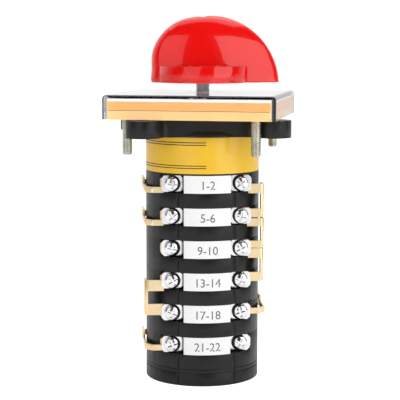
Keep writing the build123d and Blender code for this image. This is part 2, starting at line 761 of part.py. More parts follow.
small_radius = cam_mean_radius - contact_travel
large_radius = cam_mean_radius + contact_travel
for stage in range(1, stages + 1):
    bottom = stage_bottom(stage)
    lobe_bottom = bottom + stage_pitch - free_gap - cam_height
    with BuildPart() as cam:
        with BuildSketch(Plane.XY.offset(bottom + stacking)):
            Circle(hub_radius)
        extrude(amount=stage_pitch - 2 * stacking)
        with BuildSketch(Plane.XY.offset(lobe_bottom)):
            with BuildLine():
                # spirals facing the two plungers, so that the plungers move evenly with the handle
                steps = range(round(2 * cam_flank / outline_step) + 1)
                flank = [90 - cam_flank + outline_step * step for step in steps]
                upper = [polar(cam_mean_radius + spiral_rate * (angle - 90), angle) for angle in flank]
                lower = [(x, -y) for x, y in upper]
                Spline(*upper)
                Spline(*lower)
                dwell = 90 - cam_flank
                CenterArc((0, 0), small_radius, -dwell, 2 * dwell)
                CenterArc((0, 0), large_radius, 180 - dwell, 2 * dwell)
            make_face()
        extrude(amount=cam_height)
        square_socket(bottom, stage_pitch)
    cam.part.label = f"cam_{stage}"
    export_step(cam.part, f"parts/cam_{stage}.step")

# ---- detent -------------------------------------------------------------------------------------
with BuildPart() as detent_wheel:
    with BuildSketch(Plane.XY.offset(stack_top + stacking)):
        Circle(hub_radius)
    extrude(amount=detent_z - stack_top)
    with BuildSketch(Plane.XY.offset(detent_z)):
        with BuildLine():
            turns = [outline_step * step for step in range(round(360 / outline_step))]
            waves = [cos(radians(detent_valleys * (turn - 90))) for turn in turns]
            radii = [detent_mean_radius - detent_lobe * wave for wave in waves]
            Spline(*[polar(radius, turn) for radius, turn in zip(radii, turns)], periodic=True)
        make_face()
    extrude(amount=detent_height)
    square_socket(stack_top, mechanism_height)
detent_wheel.part.label = "detent_wheel"
export_step(detent_wheel.part, "parts/detent_wheel.step")

stop_plate_z = flange_bottom - stop_plate_thickness - stop_plate_gap
with BuildPart() as stop_plate:
    with BuildSketch(Plane.XY.offset(stop_plate_z)):
        Circle(stop_plate_radius)
        with Locations((stop_lug_reach / 2, 0)):
            Rectangle(stop_lug_reach, stop_lug_width)
    extrude(amount=stop_plate_thickness)
    with BuildSketch(Plane.XY.offset(detent_z + detent_height)):
        Circle(hub_radius)
    extrude(amount=flange_top - free_gap - detent_z - detent_height)
    square_socket(stack_top, 2 * mechanism_height)
stop_plate.part.label = "stop_plate"
export_step(stop_plate.part, "parts/stop_plate.step")

roller_middle = detent_z + detent_height / 2
with BuildPart() as detent_rollers:
    with BuildSketch(Plane.XY.offset(roller_middle - roller_length / 2)):
        with Locations((0, roller_y), (0, -roller_y)):
            Circle(roller_radius)
    extrude(amount=roller_length)
detent_rollers.part.label = "detent_rollers"
export_step(detent_rollers.part, "parts/detent_rollers.step")

slide_inner = roller_y + roller_proud
slide_outer = slide_inner + detent_slide_depth
with BuildPart() as detent_slides:
    with BuildSketch(Plane.XY.offset(roller_middle - roller_length / 2)):
        for face in (FRONT, REAR):
            with Locations((0, face * (slide_inner + slide_outer) / 2)):
                Rectangle(2 * detent_slide_half_width, detent_slide_depth)
            with Locations((0, face * roller_y)):
                Circle(roller_radius + running, mode=Mode.SUBTRACT)
    extrude(amount=roller_length)
detent_slides.part.label = "detent_slides"
export_step(detent_slides.part, "parts/detent_slides.step")

detent_spring_length = detent_pocket_end_y - slide_outer - 2 * stacking
one_detent_spring = coil(detent_spring_radius, spring_wire, detent_spring_length, detent_spring_turns)
with BuildPart() as detent_springs:
    for face in (FRONT, REAR):
        base = face * (slide_outer + stacking + spring_wire)
        spring_plane = Plane(origin=(0, base, roller_middle), x_dir=(1, 0, 0), z_dir=(0, face, 0))
        with Locations(spring_plane):
            add(one_detent_spring)
detent_springs.part.label = "detent_springs"
export_step(detent_springs.part, "parts/detent_springs.step")

# ---- front plate assembly -----------------------------------------------------------------------
front = Plane.XY.rotated((0, 0, front_turn))
inner_side = cover_side - 2 * cover_wall - 2 * inner_fit
inner_corner = cover_corner - cover_wall


def front_slab(bottom, thickness, side, corner):
    """Square plate with rounded corners and the shaft opening."""
    with BuildSketch(front.offset(bottom)) as slab:
        RectangleRounded(side, side, corner)
        Circle(front_bore_radius, mode=Mode.SUBTRACT)
    extrude(slab.sketch, amount=thickness)


def front_holes(bottom, depth, radius):
    """The four fixing holes of the front plate."""
    with BuildSketch(front.offset(bottom)) as holes:
        with GridLocations(mount_pitch, mount_pitch, 2, 2):
            Circle(radius)
    extrude(holes.sketch, amount=depth, mode=Mode.SUBTRACT)


with BuildPart() as clear_cover:
    front_slab(front_bottom, cover_outer_top - front_bottom, cover_side, cover_corner)
    top_edges = clear_cover.faces().sort_by(Axis.Z)[-1].outer_wire().edges()
    fillet(top_edges, cover_edge_round)
    with BuildSketch(front.offset(front_bottom)):
        RectangleRounded(cover_side - 2 * cover_wall, cover_side - 2 * cover_wall, inner_corner)
    extrude(amount=cover_inner_top - front_bottom, mode=Mode.SUBTRACT)
clear_cover.part.label = "clear_cover"
export_step(clear_cover.part, "parts/clear_cover.step")

with BuildPart() as dial_plate:
    front_slab(dial_bottom, dial_thickness, inner_side, inner_corner)
dial_plate.part.label = "dial_plate"
export_step(dial_plate.part, "parts/dial_plate.step")

head_seat = upper_plate_top - mount_head_height - mount_head_inset
with BuildPart() as upper_plate:
    front_slab(upper_plate_bottom, upper_plate_thickness, inner_side, inner_corner)
    front_holes(upper_plate_bottom, upper_plate_thickness, mount_screw_radius + plate_hole_clearance)
    front_holes(head_seat, upper_plate_thickness, mount_head_radius + bolt_clearance)
upper_plate.part.label = "upper_plate"
export_step(upper_plate.part, "parts/upper_plate.step")

with BuildPart() as lower_plate:
    front_slab(front_bottom, lower_plate_thickness, inner_side, inner_corner)
    front_holes(front_bottom, lower_plate_thickness, mount_screw_radius + plate_hole_clearance)
lower_plate.part.label = "lower_plate"
export_step(lower_plate.part, "parts/lower_plate.step")

mount_screw_tip = flange_bottom - mount_screw_reach
with BuildPart() as mounting_screws:
    with BuildSketch(front.offset(mount_screw_tip)):
        with GridLocations(mount_pitch, mount_pitch, 2, 2):
            Circle(mount_screw_radius)
    extrude(amount=head_seat - mount_screw_tip)
    chamfer(mounting_screws.faces().sort_by(Axis.Z)[:4].edges(), mount_tip_chamfer)
    with BuildSketch(front.offset(head_seat)):
        with GridLocations(mount_pitch, mount_pitch, 2, 2):
            Circle(mount_head_radius)
    extrude(amount=mount_head_height, taper=mount_head_taper)
mounting_screws.part.label = "mounting_screws"
export_step(mounting_screws.part, "parts/mounting_screws.step")

# ---- knob ---------------------------------------------------------------------------------------
nose_centre_height = nose_top_height - nose_arc_radius
tail_centre_height = tail_top_height - tail_arc_radius


def grip_ends(height):
    """How far the grip reaches to the tail and to the nose, at a height above its foot."""
    half_chord = sqrt(nose_arc_radius**2 - (height - nose_centre_height)**2)
    if height <= tail_wall_height:
        tail = tail_reach
    elif height < tail_top_height:
        tail = sqrt(tail_arc_radius**2 - (height - tail_centre_height)**2) - tail_top_x
    else:
        tail = half_chord - nose_top_x
    return tail, nose_top_x + half_chord


def grip_section(height):
    """Rounded wedge, broadest near the shaft; every section is the foot's, scaled to the side outline."""
    tail, nose = grip_ends(height)
    scale = (tail + nose) / sum(grip_ends(0))
    tail_edge_x = -tail + scale * tail_round
    tail_edge_y = scale * tail_half_thickness
    nose_edge_x = nose - scale * nose_round
    nose_edge_y = scale * nose_half_thickness
    broad_x = -tail + scale * tail_reach
    broad_y = scale * grip_half_thickness
    with BuildSketch(Plane.XY.offset(knob_bottom + height)) as section:
        with BuildLine():
            ThreePointArc((tail_edge_x, tail_edge_y), (-tail, 0), (tail_edge_x, -tail_edge_y))
            ThreePointArc((tail_edge_x, -tail_edge_y), (broad_x, -broad_y), (nose_edge_x, -nose_edge_y))
            ThreePointArc((nose_edge_x, -nose_edge_y), (nose, 0), (nose_edge_x, nose_edge_y))
            ThreePointArc((nose_edge_x, nose_edge_y), (broad_x, broad_y), (tail_edge_x, tail_edge_y))
        make_face()
    return section.sketch


with BuildPart() as knob:
    # sections crowd together towards the rounded crown
    rises = [crown_height * sin(radians(90 * step / grip_sections)) for step in range(grip_sections + 1)]
    loft([grip_section(rise) for rise in rises])
    with BuildSketch(Plane.XY.offset(knob_bottom)):
        Circle(knob_disc_radius)
    extrude(amount=knob_disc_height)
    # hollow underside round the hub
    with BuildSketch(Plane.XY.offset(knob_bottom)):
        Circle(knob_disc_radius - knob_skirt_wall)
        Circle(knob_hub_radius, mode=Mode.SUBTRACT)
    extrude(amount=knob_recess_depth, mode=Mode.SUBTRACT)
    square_socket(knob_bottom, socket_depth)
    bore(knob_bottom, 2 * nose_top_height, knob_screw_radius + bolt_clearance)
    bore(knob_bottom + knob_screw_seat, nose_top_height, knob_screw_hole_radius)
knob.part.label = "knob"
export_step(knob.part, "parts/knob.step")

with BuildPart() as knob_screw:
    with BuildSketch(Plane.XY.offset(knob_bottom + knob_screw_seat)):
        Circle(knob_screw_head_radius)
    extrude(amount=knob_screw_head_height)
    with BuildSketch(Plane.XY.offset(knob_bottom + knob_screw_seat)):
        Circle(knob_screw_radius - knob_screw_fit)
    extrude(amount=-(knob_screw_seat - socket_depth + knob_screw_engagement))
    with BuildSketch(Plane.XY.offset(knob_bottom + knob_screw_seat + knob_screw_head_height)):
        Rectangle(2 * knob_screw_head_radius, knob_slot_width)
    extrude(amount=-knob_slot_depth, mode=Mode.SUBTRACT)
knob_screw.part.label = "knob_screw"
export_step(knob_screw.part, "parts/knob_screw.step")
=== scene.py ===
"""Looks of the rotary changeover switch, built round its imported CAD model. Metres, labels facing -Y."""

import json
from math import cos, pi, radians, sin

import bmesh
import bpy
from mathutils import Matrix, Vector


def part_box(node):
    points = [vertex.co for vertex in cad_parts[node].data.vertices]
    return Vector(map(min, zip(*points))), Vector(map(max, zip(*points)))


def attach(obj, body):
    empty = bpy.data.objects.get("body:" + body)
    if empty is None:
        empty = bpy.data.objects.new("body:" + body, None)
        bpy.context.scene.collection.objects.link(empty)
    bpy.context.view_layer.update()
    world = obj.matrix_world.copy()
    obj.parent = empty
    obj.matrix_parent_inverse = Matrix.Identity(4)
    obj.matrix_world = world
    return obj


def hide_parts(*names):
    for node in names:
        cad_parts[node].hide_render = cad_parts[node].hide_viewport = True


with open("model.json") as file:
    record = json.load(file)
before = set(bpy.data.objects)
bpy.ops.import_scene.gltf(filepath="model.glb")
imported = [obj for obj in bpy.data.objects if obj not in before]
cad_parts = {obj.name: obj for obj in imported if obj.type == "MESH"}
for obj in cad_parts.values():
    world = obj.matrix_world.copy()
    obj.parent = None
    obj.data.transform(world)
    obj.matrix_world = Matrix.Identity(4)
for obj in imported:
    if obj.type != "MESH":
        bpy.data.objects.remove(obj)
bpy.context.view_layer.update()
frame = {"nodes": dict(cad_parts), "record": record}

MM = 0.001
SWITCH = "switch_body"
FRONT_PLATE = "front_plate"
STAGES = 6
UP = Vector((0, 0, 1))


# ---- camera -------------------------------------------------------------------------------------
def make_camera():
    """Long lens a little above the object's middle, turned 5.4 degrees from square on to the labels."""
    turn = radians(5.4)
    pitch = radians(6.887)
    roll = 0.0024
    distance = 519.8 * MM
    sideways = -0.9 * MM
    height = 130.93 * MM
    ahead = Vector((sin(turn), cos(turn), 0))
    right = Vector((cos(turn), -sin(turn), 0))
    camera_data = bpy.data.cameras.new("camera")
    camera_data.lens = 122.07
    camera_data.sensor_width = 36
    camera = bpy.data.objects.new("camera", camera_data)
    bpy.context.scene.collection.objects.link(camera)
    forward = ahead * cos(pitch) - UP * sin(pitch)
    above = right.cross(forward)
    tilted_right = right * cos(roll) + above * sin(roll)
    tilted_up = above * cos(roll) - right * sin(roll)
    turned = Matrix((tilted_right, tilted_up, -forward)).transposed().to_4x4()
    turned.translation = right * sideways - ahead * distance + UP * height
    camera.matrix_world = turned
    bpy.context.scene.camera = camera


make_camera()


# ---- materials ----------------------------------------------------------------------------------
def shader(name, base, roughness, metallic=0.0, **sockets):
    """A material with one Principled shader; further sockets are given by name."""
    material = bpy.data.materials.new(name)
    material.use_nodes = True
    bsdf = material.node_tree.nodes["Principled BSDF"]
    bsdf.inputs["Base Color"].default_value = (*base, 1)
    bsdf.inputs["Roughness"].default_value = roughness
    bsdf.inputs["Metallic"].default_value = metallic
    for socket, value in sockets.items():
        bsdf.inputs[socket.replace("_", " ")].default_value = value
    return material


def noise(material, scale, detail=3.0, stretch=(1, 1, 1)):
    """Noise texture on the object's own coordinates; scale is in features per metre."""
    nodes, links = material.node_tree.nodes, material.node_tree.links
    place = nodes.new("ShaderNodeTexCoord")
    mapping = nodes.new("ShaderNodeMapping")
    mapping.inputs["Scale"].default_value = stretch
    texture = nodes.new("ShaderNodeTexNoise")
    texture.inputs["Scale"].default_value = scale
    texture.inputs["Detail"].default_value = detail
    links.new(place.outputs["Object"], mapping.inputs["Vector"])
    links.new(mapping.outputs["Vector"], texture.inputs["Vector"])
    return texture.outputs["Fac"]


def remap(material, value, low, high, from_low=0.3, from_high=0.7):
    """Stretches a 0 to 1 value to low to high."""
    nodes, links = material.node_tree.nodes, material.node_tree.links
    node = nodes.new("ShaderNodeMapRange")
    node.inputs["From Min"].default_value = from_low
    node.inputs["From Max"].default_value = from_high
    node.inputs["To Min"].default_value = low
    node.inputs["To Max"].default_value = high
    links.new(value, node.inputs["Value"])
    return node.outputs["Result"]


def vary_roughness(material, value, low, high):
    """Roughness follows a texture between two values."""
    bsdf = material.node_tree.nodes["Principled BSDF"]
    material.node_tree.links.new(remap(material, value, low, high), bsdf.inputs["Roughness"])


def vary_colour(material, value, first, second):
    """Base colour follows a texture between two colours."""
    nodes, links = material.node_tree.nodes, material.node_tree.links
    mix = nodes.new("ShaderNodeMix")
    mix.data_type = "RGBA"
    mix.inputs["A"].default_value = (*first, 1)
    mix.inputs["B"].default_value = (*second, 1)
    links.new(remap(material, value, 0, 1), mix.inputs["Factor"])
    links.new(mix.outputs["Result"], nodes["Principled BSDF"].inputs["Base Color"])


def bump(material, value, depth, strength=1.0):
    """Fine relief; depth is in metres."""
    nodes, links = material.node_tree.nodes, material.node_tree.links
    node = nodes.new("ShaderNodeBump")
    node.inputs["Strength"].default_value = strength
    node.inputs["Distance"].default_value = depth
    links.new(value, node.inputs["Height"])
    links.new(node.outputs["Normal"], nodes["Principled BSDF"].inputs["Normal"])


def black_plastic():
    material = shader("black_plastic", (0.007, 0.007, 0.008), 0.38, Specular_IOR_Level=0.3)
    vary_colour(material, noise(material, 120, 4), (0.005, 0.005, 0.0055), (0.010, 0.010, 0.011))
    vary_roughness(material, noise(material, 900, 2), 0.30, 0.44)
    bump(material, noise(material, 5200, 2), 0.02 * MM, 0.5)
    return material


def red_plastic():
    material = shader("red_plastic", (0.80, 0.003, 0.002), 0.25, Specular_IOR_Level=0.2, Coat_Weight=0.8,
                      Coat_Roughness=0.05)
    vary_colour(material, noise(material, 90, 3), (0.78, 0.002, 0.001), (0.83, 0.004, 0.003))
    vary_roughness(material, noise(material, 700, 3), 0.17, 0.27)
    bump(material, noise(material, 420, 1), 0.02 * MM, 0.35)
    return material


def amber_plastic(name, base, deep):
    material = shader(name, base, 0.35, Subsurface_Weight=0.15, Subsurface_Scale=1.5 * MM)
    vary_colour(material, noise(material, 60, 3), base, deep)
    vary_roughness(material, noise(material, 800, 3), 0.28, 0.42)
    bump(material, noise(material, 2600, 2), 0.015 * MM, 0.5)
    return material


def clear_acrylic():
    """Clear moulding; lamp rays pass straight through it, so what lies under it is lit."""
    material = shader("clear_acrylic", (0.985, 0.985, 0.995), 0.02, Transmission_Weight=1.0, IOR=1.49)
    vary_roughness(material, noise(material, 150, 4), 0.0, 0.02)
    nodes, links = material.node_tree.nodes, material.node_tree.links
    rays = nodes.new("ShaderNodeLightPath")
    open_way = nodes.new("ShaderNodeBsdfTransparent")
    open_way.inputs["Color"].default_value = (0.96, 0.96, 0.97, 1)
    mix = nodes.new("ShaderNodeMixShader")
    links.new(rays.outputs["Is Shadow Ray"], mix.inputs["Fac"])
    links.new(nodes["Principled BSDF"].outputs["BSDF"], mix.inputs[1])
    links.new(open_way.outputs["BSDF"], mix.inputs[2])
    links.new(mix.outputs["Shader"], nodes["Material Output"].inputs["Surface"])
    return material


def white_plastic():
    material = shader("white_plastic", (0.86, 0.86, 0.86), 0.35)
    vary_colour(material, noise(material, 100, 3), (0.84, 0.84, 0.84), (0.88, 0.88, 0.88))
    vary_roughness(material, noise(material, 900, 2), 0.3, 0.42)
    return material


def paper_label():
    material = shader("paper_label", (0.86, 0.86, 0.87), 0.5)
    vary_colour(material, noise(material, 1500, 4), (0.82, 0.82, 0.83), (0.90, 0.90, 0.91))
    bump(material, noise(material, 3000, 3), 0.01 * MM, 0.6)
    return material


def yellow_film():
    material = shader("yellow_film", (0.84, 0.50, 0.002), 0.32, Coat_Weight=0.3, Coat_Roughness=0.2)
    vary_colour(material, noise(material, 110, 4), (0.81, 0.47, 0.001), (0.87, 0.53, 0.004))
    vary_roughness(material, noise(material, 500, 4), 0.27, 0.42)
    bump(material, noise(material, 260, 3), 0.05 * MM, 0.35)
    return material


def metal(name, first, second, rough_low, rough_high, grain, stretch):
    """Bare or plated metal with drawn grain."""
    material = shader(name, first, rough_low, 1.0)
    vary_colour(material, noise(material, 250, 4), first, second)
    lines = noise(material, grain, 3, stretch)
    vary_roughness(material, lines, rough_low, rough_high)
    bump(material, lines, 0.01 * MM, 0.5)
    return material


def natural_nylon():
    depth = 1 * MM
    material = shader("natural_nylon", (0.78, 0.74, 0.64), 0.4, Subsurface_Weight=0.2, Subsurface_Scale=depth)
    vary_colour(material, noise(material, 200, 3), (0.74, 0.70, 0.60), (0.82, 0.78, 0.68))
    bump(material, noise(material, 3000, 2), 0.02 * MM, 0.4)
    return material


def ink(name, colour):
    material = shader(name, colour, 0.5)
    vary_roughness(material, noise(material, 2500, 3), 0.4, 0.65)
    return material


# first and second colour, least and greatest roughness, grain per metre and its stretch
METALS = {
    "brass": ((0.86, 0.66, 0.38), (0.92, 0.74, 0.47), 0.26, 0.42, 2600, (1, 1, 0.08)),
    "bright_nickel": ((0.78, 0.78, 0.80), (0.88, 0.88, 0.90), 0.10, 0.24, 1800, (1, 1, 1)),
    "silver": ((0.88, 0.88, 0.88), (0.94, 0.94, 0.94), 0.25, 0.4, 2500, (1, 1, 1)),
    "zinc_steel": ((0.50, 0.51, 0.41), (0.66, 0.67, 0.60), 0.22, 0.40, 1500, (1, 1, 1)),
    "steel": ((0.55, 0.55, 0.56), (0.68, 0.68, 0.69), 0.25, 0.42, 2600, (1, 1, 0.05)),
}
materials = {
    "black_plastic": black_plastic(),
    "red_plastic": red_plastic(),
    "amber_plastic": amber_plastic("amber_plastic", (1.0, 0.40, 0.03), (0.97, 0.36, 0.02)),
    "pale_amber_plastic": amber_plastic("pale_amber_plastic", (1.0, 0.58, 0.17), (0.98, 0.53, 0.13)),
    "clear_acrylic": clear_acrylic(),
    "white_plastic": white_plastic(),
    "yellow_label": yellow_film(),
    "white_label": paper_label(),
    **{name: metal(name, *look) for name, look in METALS.items()},
    "natural_nylon": natural_nylon(),
}
grey_ink = ink("grey_ink", (0.10, 0.10, 0.105))
black_ink = ink("black_ink", (0.012, 0.012, 0.012))


def dress_cad_nodes():
    """Every CAD node gets its slot's material, and moulded or stamped edges a small round."""
    edge_width = {
        "black_plastic": 0.25,
        "red_plastic": 0.45,
        "amber_plastic": 0.3,
        "pale_amber_plastic": 0.3,
        "white_plastic": 0.1,
        "brass": 0.14,
        "bright_nickel": 0.15,
        "steel": 0.08,
        "natural_nylon": 0.2,
    }
    slots = {part["node"]: part["material_slot"] for part in frame["record"]["subparts"]}
    for name, node in frame["nodes"].items():
        node.data.materials.clear()
        node.data.materials.append(materials[slots[name]])
        width = edge_width.get(slots[name])
        if width and "spring" not in name:
            weld = node.modifiers.new("weld", "WELD")
            weld.merge_threshold = 0.001 * MM
            rounding = node.modifiers.new("edges", "BEVEL")
            rounding.width = width * MM
            rounding.segments = 2
            rounding.limit_method = "ANGLE"
            rounding.angle_limit = radians(35)
            rounding.harden_normals = True


dress_cad_nodes()


# ---- mesh helpers -------------------------------------------------------------------------------
def make_piece(name, vertices, faces, slot, body, material=None, smooth=True):
    """A mesh object that rides on a body and takes its finish from a slot."""
    mesh = bpy.data.meshes.new(name)
    mesh.from_pydata([tuple(v) for v in vertices], [], faces)
    mesh.validate()
    work = bmesh.new()
    work.from_mesh(mesh)
    bmesh.ops.recalc_face_normals(work, faces=work.faces)
    work.to_mesh(mesh)
    work.free()
    for polygon in mesh.polygons:
        polygon.use_smooth = smooth
    piece = bpy.data.objects.new(name, mesh)
    bpy.context.scene.collection.objects.link(piece)
    mesh.materials.append(material or materials[slot])
    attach(piece, body)
    return piece


def lathe(profile, steps):
    """Closed solid of revolution about Z from (radius, height) points that begin and end on the axis."""
    vertices = []
    rings = []
    for radius, height in profile:
        if radius < 1e-9:
            rings.append([len(vertices)])
            vertices.append(Vector((0, 0, height)))
            continue
        rings.append(list(range(len(vertices), len(vertices) + steps)))
        for step in range(steps):
            angle = 2 * pi * step / steps
            vertices.append(Vector((radius * cos(angle), radius * sin(angle), height)))
    faces = []
    for low, high in zip(rings, rings[1:]):
        for step in range(steps):
            after = (step + 1) % steps
            if len(low) == 1:
                faces.append((low[0], high[after], high[step]))
            elif len(high) == 1:
                faces.append((low[step], low[after], high[0]))
            else:
                faces.append((low[step], low[after], high[after], high[step]))
    return vertices, faces


def repeat(mesh_parts, placements):
    """One vertex and face list from copies of a mesh at several placements."""
    vertices, faces = mesh_parts
    all_vertices, all_faces = [], []
    for place in placements:
        offset = len(all_vertices)
        all_vertices += [place @ Vector(v) for v in vertices]
        all_faces += [tuple(index + offset for index in face) for face in faces]
    return all_vertices, all_faces


def joined(meshes):
    """Several vertex and face lists as one."""
    vertices, faces = [], []
    for some_vertices, some_faces in meshes:
        offset = len(vertices)
        vertices += list(some_vertices)
        faces += [tuple(i + offset for i in face) for face in some_faces]
    return vertices, faces


def boolean(base, tool, operation):
    """Applies a Boolean of two (vertices, faces) solids and gives the result's lists."""
    objects = []
    for index, (vertices, faces) in enumerate((base, tool)):
        mesh = bpy.data.meshes.new(f"work_{index}")
        mesh.from_pydata([tuple(v) for v in vertices], [], faces)
        work = bmesh.new()
        work.from_mesh(mesh)
        bmesh.ops.recalc_face_normals(work, faces=work.faces)
        work.to_mesh(mesh)
        work.free()
        solid = bpy.data.objects.new(f"work_{index}", mesh)
        bpy.context.scene.collection.objects.link(solid)
        objects.append(solid)
    modifier = objects[0].modifiers.new("cut", "BOOLEAN")
    modifier.object = objects[1]
    modifier.operation = operation
    modifier.solver = "EXACT"
    bpy.context.view_layer.update()
    evaluated = objects[0].evaluated_get(bpy.context.evaluated_depsgraph_get())
    result = bpy.data.meshes.new_from_object(evaluated)
    vertices = [v.co.copy() for v in result.vertices]
    faces = [tuple(p.vertices) for p in result.polygons]
    for solid in objects:
        bpy.data.objects.remove(solid)
    return vertices, faces


def block(low, high):
    """Eight corners and six faces between two corners, used as a cutting tool."""
    xs, ys, zs = zip(low, high)
    vertices = [Vector((x, y, z)) for z in zs for y in ys for x in xs]
    faces = [(0, 2, 3, 1), (4, 5, 7, 6), (0, 1, 5, 4), (2, 6, 7, 3), (0, 4, 6, 2), (1, 3, 7, 5)]
    return vertices, faces


def upright(place, facing):
    """Placement whose local Z points along a horizontal direction and whose local Y stays up."""
    z_axis = Vector(facing)
    x_axis = UP.cross(z_axis)
    matrix = Matrix((x_axis, UP, z_axis)).transposed().to_4x4()
    matrix.translation = place
    return matrix


# ---- places from the frame ----------------------------------------------------------------------
pitch_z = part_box("stage_housing_1")[0].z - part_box("stage_housing_2")[0].z
labels_low, labels_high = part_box("stage_labels")
label_height = labels_high.z - labels_low.z - (STAGES - 1) * pitch_z
label_radius = -labels_low.y


def terminal_height(stage):
    """Height of a stage's terminal screws and label middle, stage 1 uppermost."""
    return labels_high.z - label_height / 2 - (stage - 1) * pitch_z


# ---- threads and screws -------------------------------------------------------------------------
def thread(radius, pitch, depth, low, high, steps=28):
    """Helical 60 degree thread as one closed surface from low to high."""
    per_pitch = 6
    run_out = 0.8  # of a pitch, over which the pointed tip widens
    tip_share = 0.80
    rows = int((high - low) / pitch * per_pitch)
    vertices, faces = [Vector((0, 0, low))], []
    for row in range(rows + 1):
        height = low + (high - low) * row / rows
        widening = min(1.0, (height - low) / (run_out * pitch))
        for step in range(steps):
            angle = 2 * pi * step / steps
            phase = (height / pitch - step / steps) % 1.0
            dip = abs(2 * phase - 1)
            r = (radius - depth * dip) * (tip_share + (1 - tip_share) * widening)
            vertices.append(Vector((r * cos(angle), r * sin(angle), height)))
    for row in range(rows):
        for step in range(steps):
            after = (step + 1) % steps
            a, b = 1 + row * steps + step, 1 + row * steps + after
            faces.append((a, b, b + steps, a + steps))
    top = len(vertices)
    vertices.append(Vector((0, 0, high)))
    last = 1 + rows * steps
    for step in range(steps):
        after = (step + 1) % steps
        faces.append((0, 1 + after, 1 + step))
        faces.append((top, last + step, last + after))
    return vertices, faces


def mounting_screws():
    """The four long screws that hang from the front plate, with real threads."""
    low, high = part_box("mounting_screws")
    radius = 2.0 * MM
    thread_pitch = 0.7 * MM
    thread_depth = 0.42 * MM
    head_radius = 3.6 * MM
    head_height = 2.2 * MM
    rim_height = 1.0 * MM
    crown_height = 1.15 * MM
    crown_gap = 0.02 * MM
    half_square = 24 * MM
    plate_turn = radians(-15.6)
    spin = 0.9  # radians from one screw to the next
    head_z = high.z - head_height
    rim_z = head_z + rim_height
    shank = thread(radius, thread_pitch, thread_depth, low.z, head_z)
    profile = [(0, head_z), (head_radius, head_z), (head_radius, rim_z)]
    profile += [(head_radius * cos(a), rim_z + crown_height * sin(a)) for a in (0.35, 0.7, 1.05, 1.35)]
    profile.append((0, high.z - crown_gap))
    places = []
    for x, y in ((-1, -1), (1, -1), (1, 1), (-1, 1)):
        corner = Vector((x * half_square, y * half_square, 0))
        spot = Matrix.Rotation(plate_turn, 3, "Z") @ corner
        places.append(Matrix.Translation(spot) @ Matrix.Rotation(spin * len(places), 4, "Z"))
    mesh = repeat(joined((shank, lathe(profile, 32))), places)
    piece = make_piece("mounting_screw_set", *mesh, "zinc_steel", FRONT_PLATE)
    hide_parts("mounting_screws")


def screw_head():
    """Pan head with a cross recess; local Z points out of the terminal, and the seat is at zero."""
    head_radius = 3.05 * MM
    head_height = 2.2 * MM
    edge = 0.15 * MM
    rim_height = 0.75 * MM
    shank_radius = 1.7 * MM
    shank_length = 6.0 * MM
    half_slot, half_width, slot_floor = 1.9 * MM, 0.42 * MM, 1.05 * MM
    profile = [(0, -shank_length), (shank_radius, -shank_length), (shank_radius, 0)]
    profile += [(head_radius - edge, 0), (head_radius, edge), (head_radius, rim_height)]
    crown = head_height - rim_height
    profile += [(head_radius * cos(a), rim_height + crown * sin(a)) for a in (0.25, 0.5, 0.75, 1.0, 1.25)]
    profile.append((0, head_height))
    head = lathe(profile, 40)
    for x, y in ((half_slot, half_width), (half_width, half_slot)):
        head = boolean(head, block((-x, -y, slot_floor), (x, y, 2 * head_height)), "DIFFERENCE")
    return head


def terminal_screws():
    """Twelve bright screws on each face, each turned differently as hand-driven screws are."""
    head = screw_head()
    terminal_x = 12.8 * MM
    sharp = 40  # degrees
    for face_name, face in (("front", -1), ("rear", 1)):
        places = []
        for stage in range(1, STAGES + 1):
            for side in (-1, 1):
                seat = terminal_seat(face_name, side, stage)
                spot = Vector((side * terminal_x, face * seat, terminal_height(stage)))
                twist = Matrix.Rotation(0.7 * stage + 1.9 * side + 0.4 * face, 4, "Z")
                places.append(upright(spot, (0, face, 0)) @ twist)
        mesh = repeat(head, places)
        piece = make_piece(f"{face_name}_screw_set", *mesh, "bright_nickel", SWITCH)
        smooth_by_angle(piece, sharp)
        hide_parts(f"{face_name}_terminal_screws")


def smooth_by_angle(piece, degrees):
    """Marks the edges sharper than an angle, so that flats stay flat."""
    work = bmesh.new()
    work.from_mesh(piece.data)
    for edge in work.edges:
        edge.smooth = len(edge.link_faces) == 2 and edge.calc_face_angle(0) < radians(degrees)
    work.to_mesh(piece.data)
    work.free()


def terminal_seat(face_name, side, stage):
    """Distance from the middle plane to the outer face of a terminal's washer, read from the frame."""
    node = frame["nodes"][f"{face_name}_terminal_washers"]
    middle = terminal_height(stage)
    reach = 4 * MM
    near = [v.co for v in node.data.vertices if abs(v.co.z - middle) < reach and v.co.x * side > 0]
    return max(abs(co.y) for co in near)


mounting_screws()
terminal_screws()


# ---- printing -----------------------------------------------------------------------------------
def text_mesh(words, height, narrow=1.0):
    """Vertices and faces of flat lettering, centred on the origin, its digits of a given height."""
    curve = bpy.data.curves.new("work_text", "FONT")
    curve.body = words
    curve.align_x = "CENTER"
    curve.align_y = "CENTER"
    curve.size = height / 0.72
    curve.resolution_u = 3
    carrier = bpy.data.objects.new("work_text", curve)
    bpy.context.scene.collection.objects.link(carrier)
    bpy.context.view_layer.update()
    mesh = bpy.data.meshes.new_from_object(carrier)
    vertices = [Vector((v.co.x * narrow, v.co.y, 0)) for v in mesh.vertices]
    faces = [tuple(p.vertices) for p in mesh.polygons]
    bpy.data.objects.remove(carrier)
    return vertices, faces


def strip(x_low, x_high, y_low, y_high, steps):
    """Flat band divided along its length so that it can be wrapped."""
    vertices, faces = [], []
    for step in range(steps + 1):
        x = x_low + (x_high - x_low) * step / steps
        vertices += [Vector((x, y_low, 0)), Vector((x, y_high, 0))]
    for step in range(steps):
        a = 2 * step
        faces.append((a, a + 2, a + 3, a + 1))
    return vertices, faces


def wrapped(mesh_parts, radius, height):
    """Bends a flat drawing round the body's front; x becomes arc length and y height."""
    vertices = []
    for v in mesh_parts[0]:
        angle = v.x / radius
        vertices.append(Vector((radius * sin(angle), -radius * cos(angle), height + v.y)))
    return vertices, mesh_parts[1]


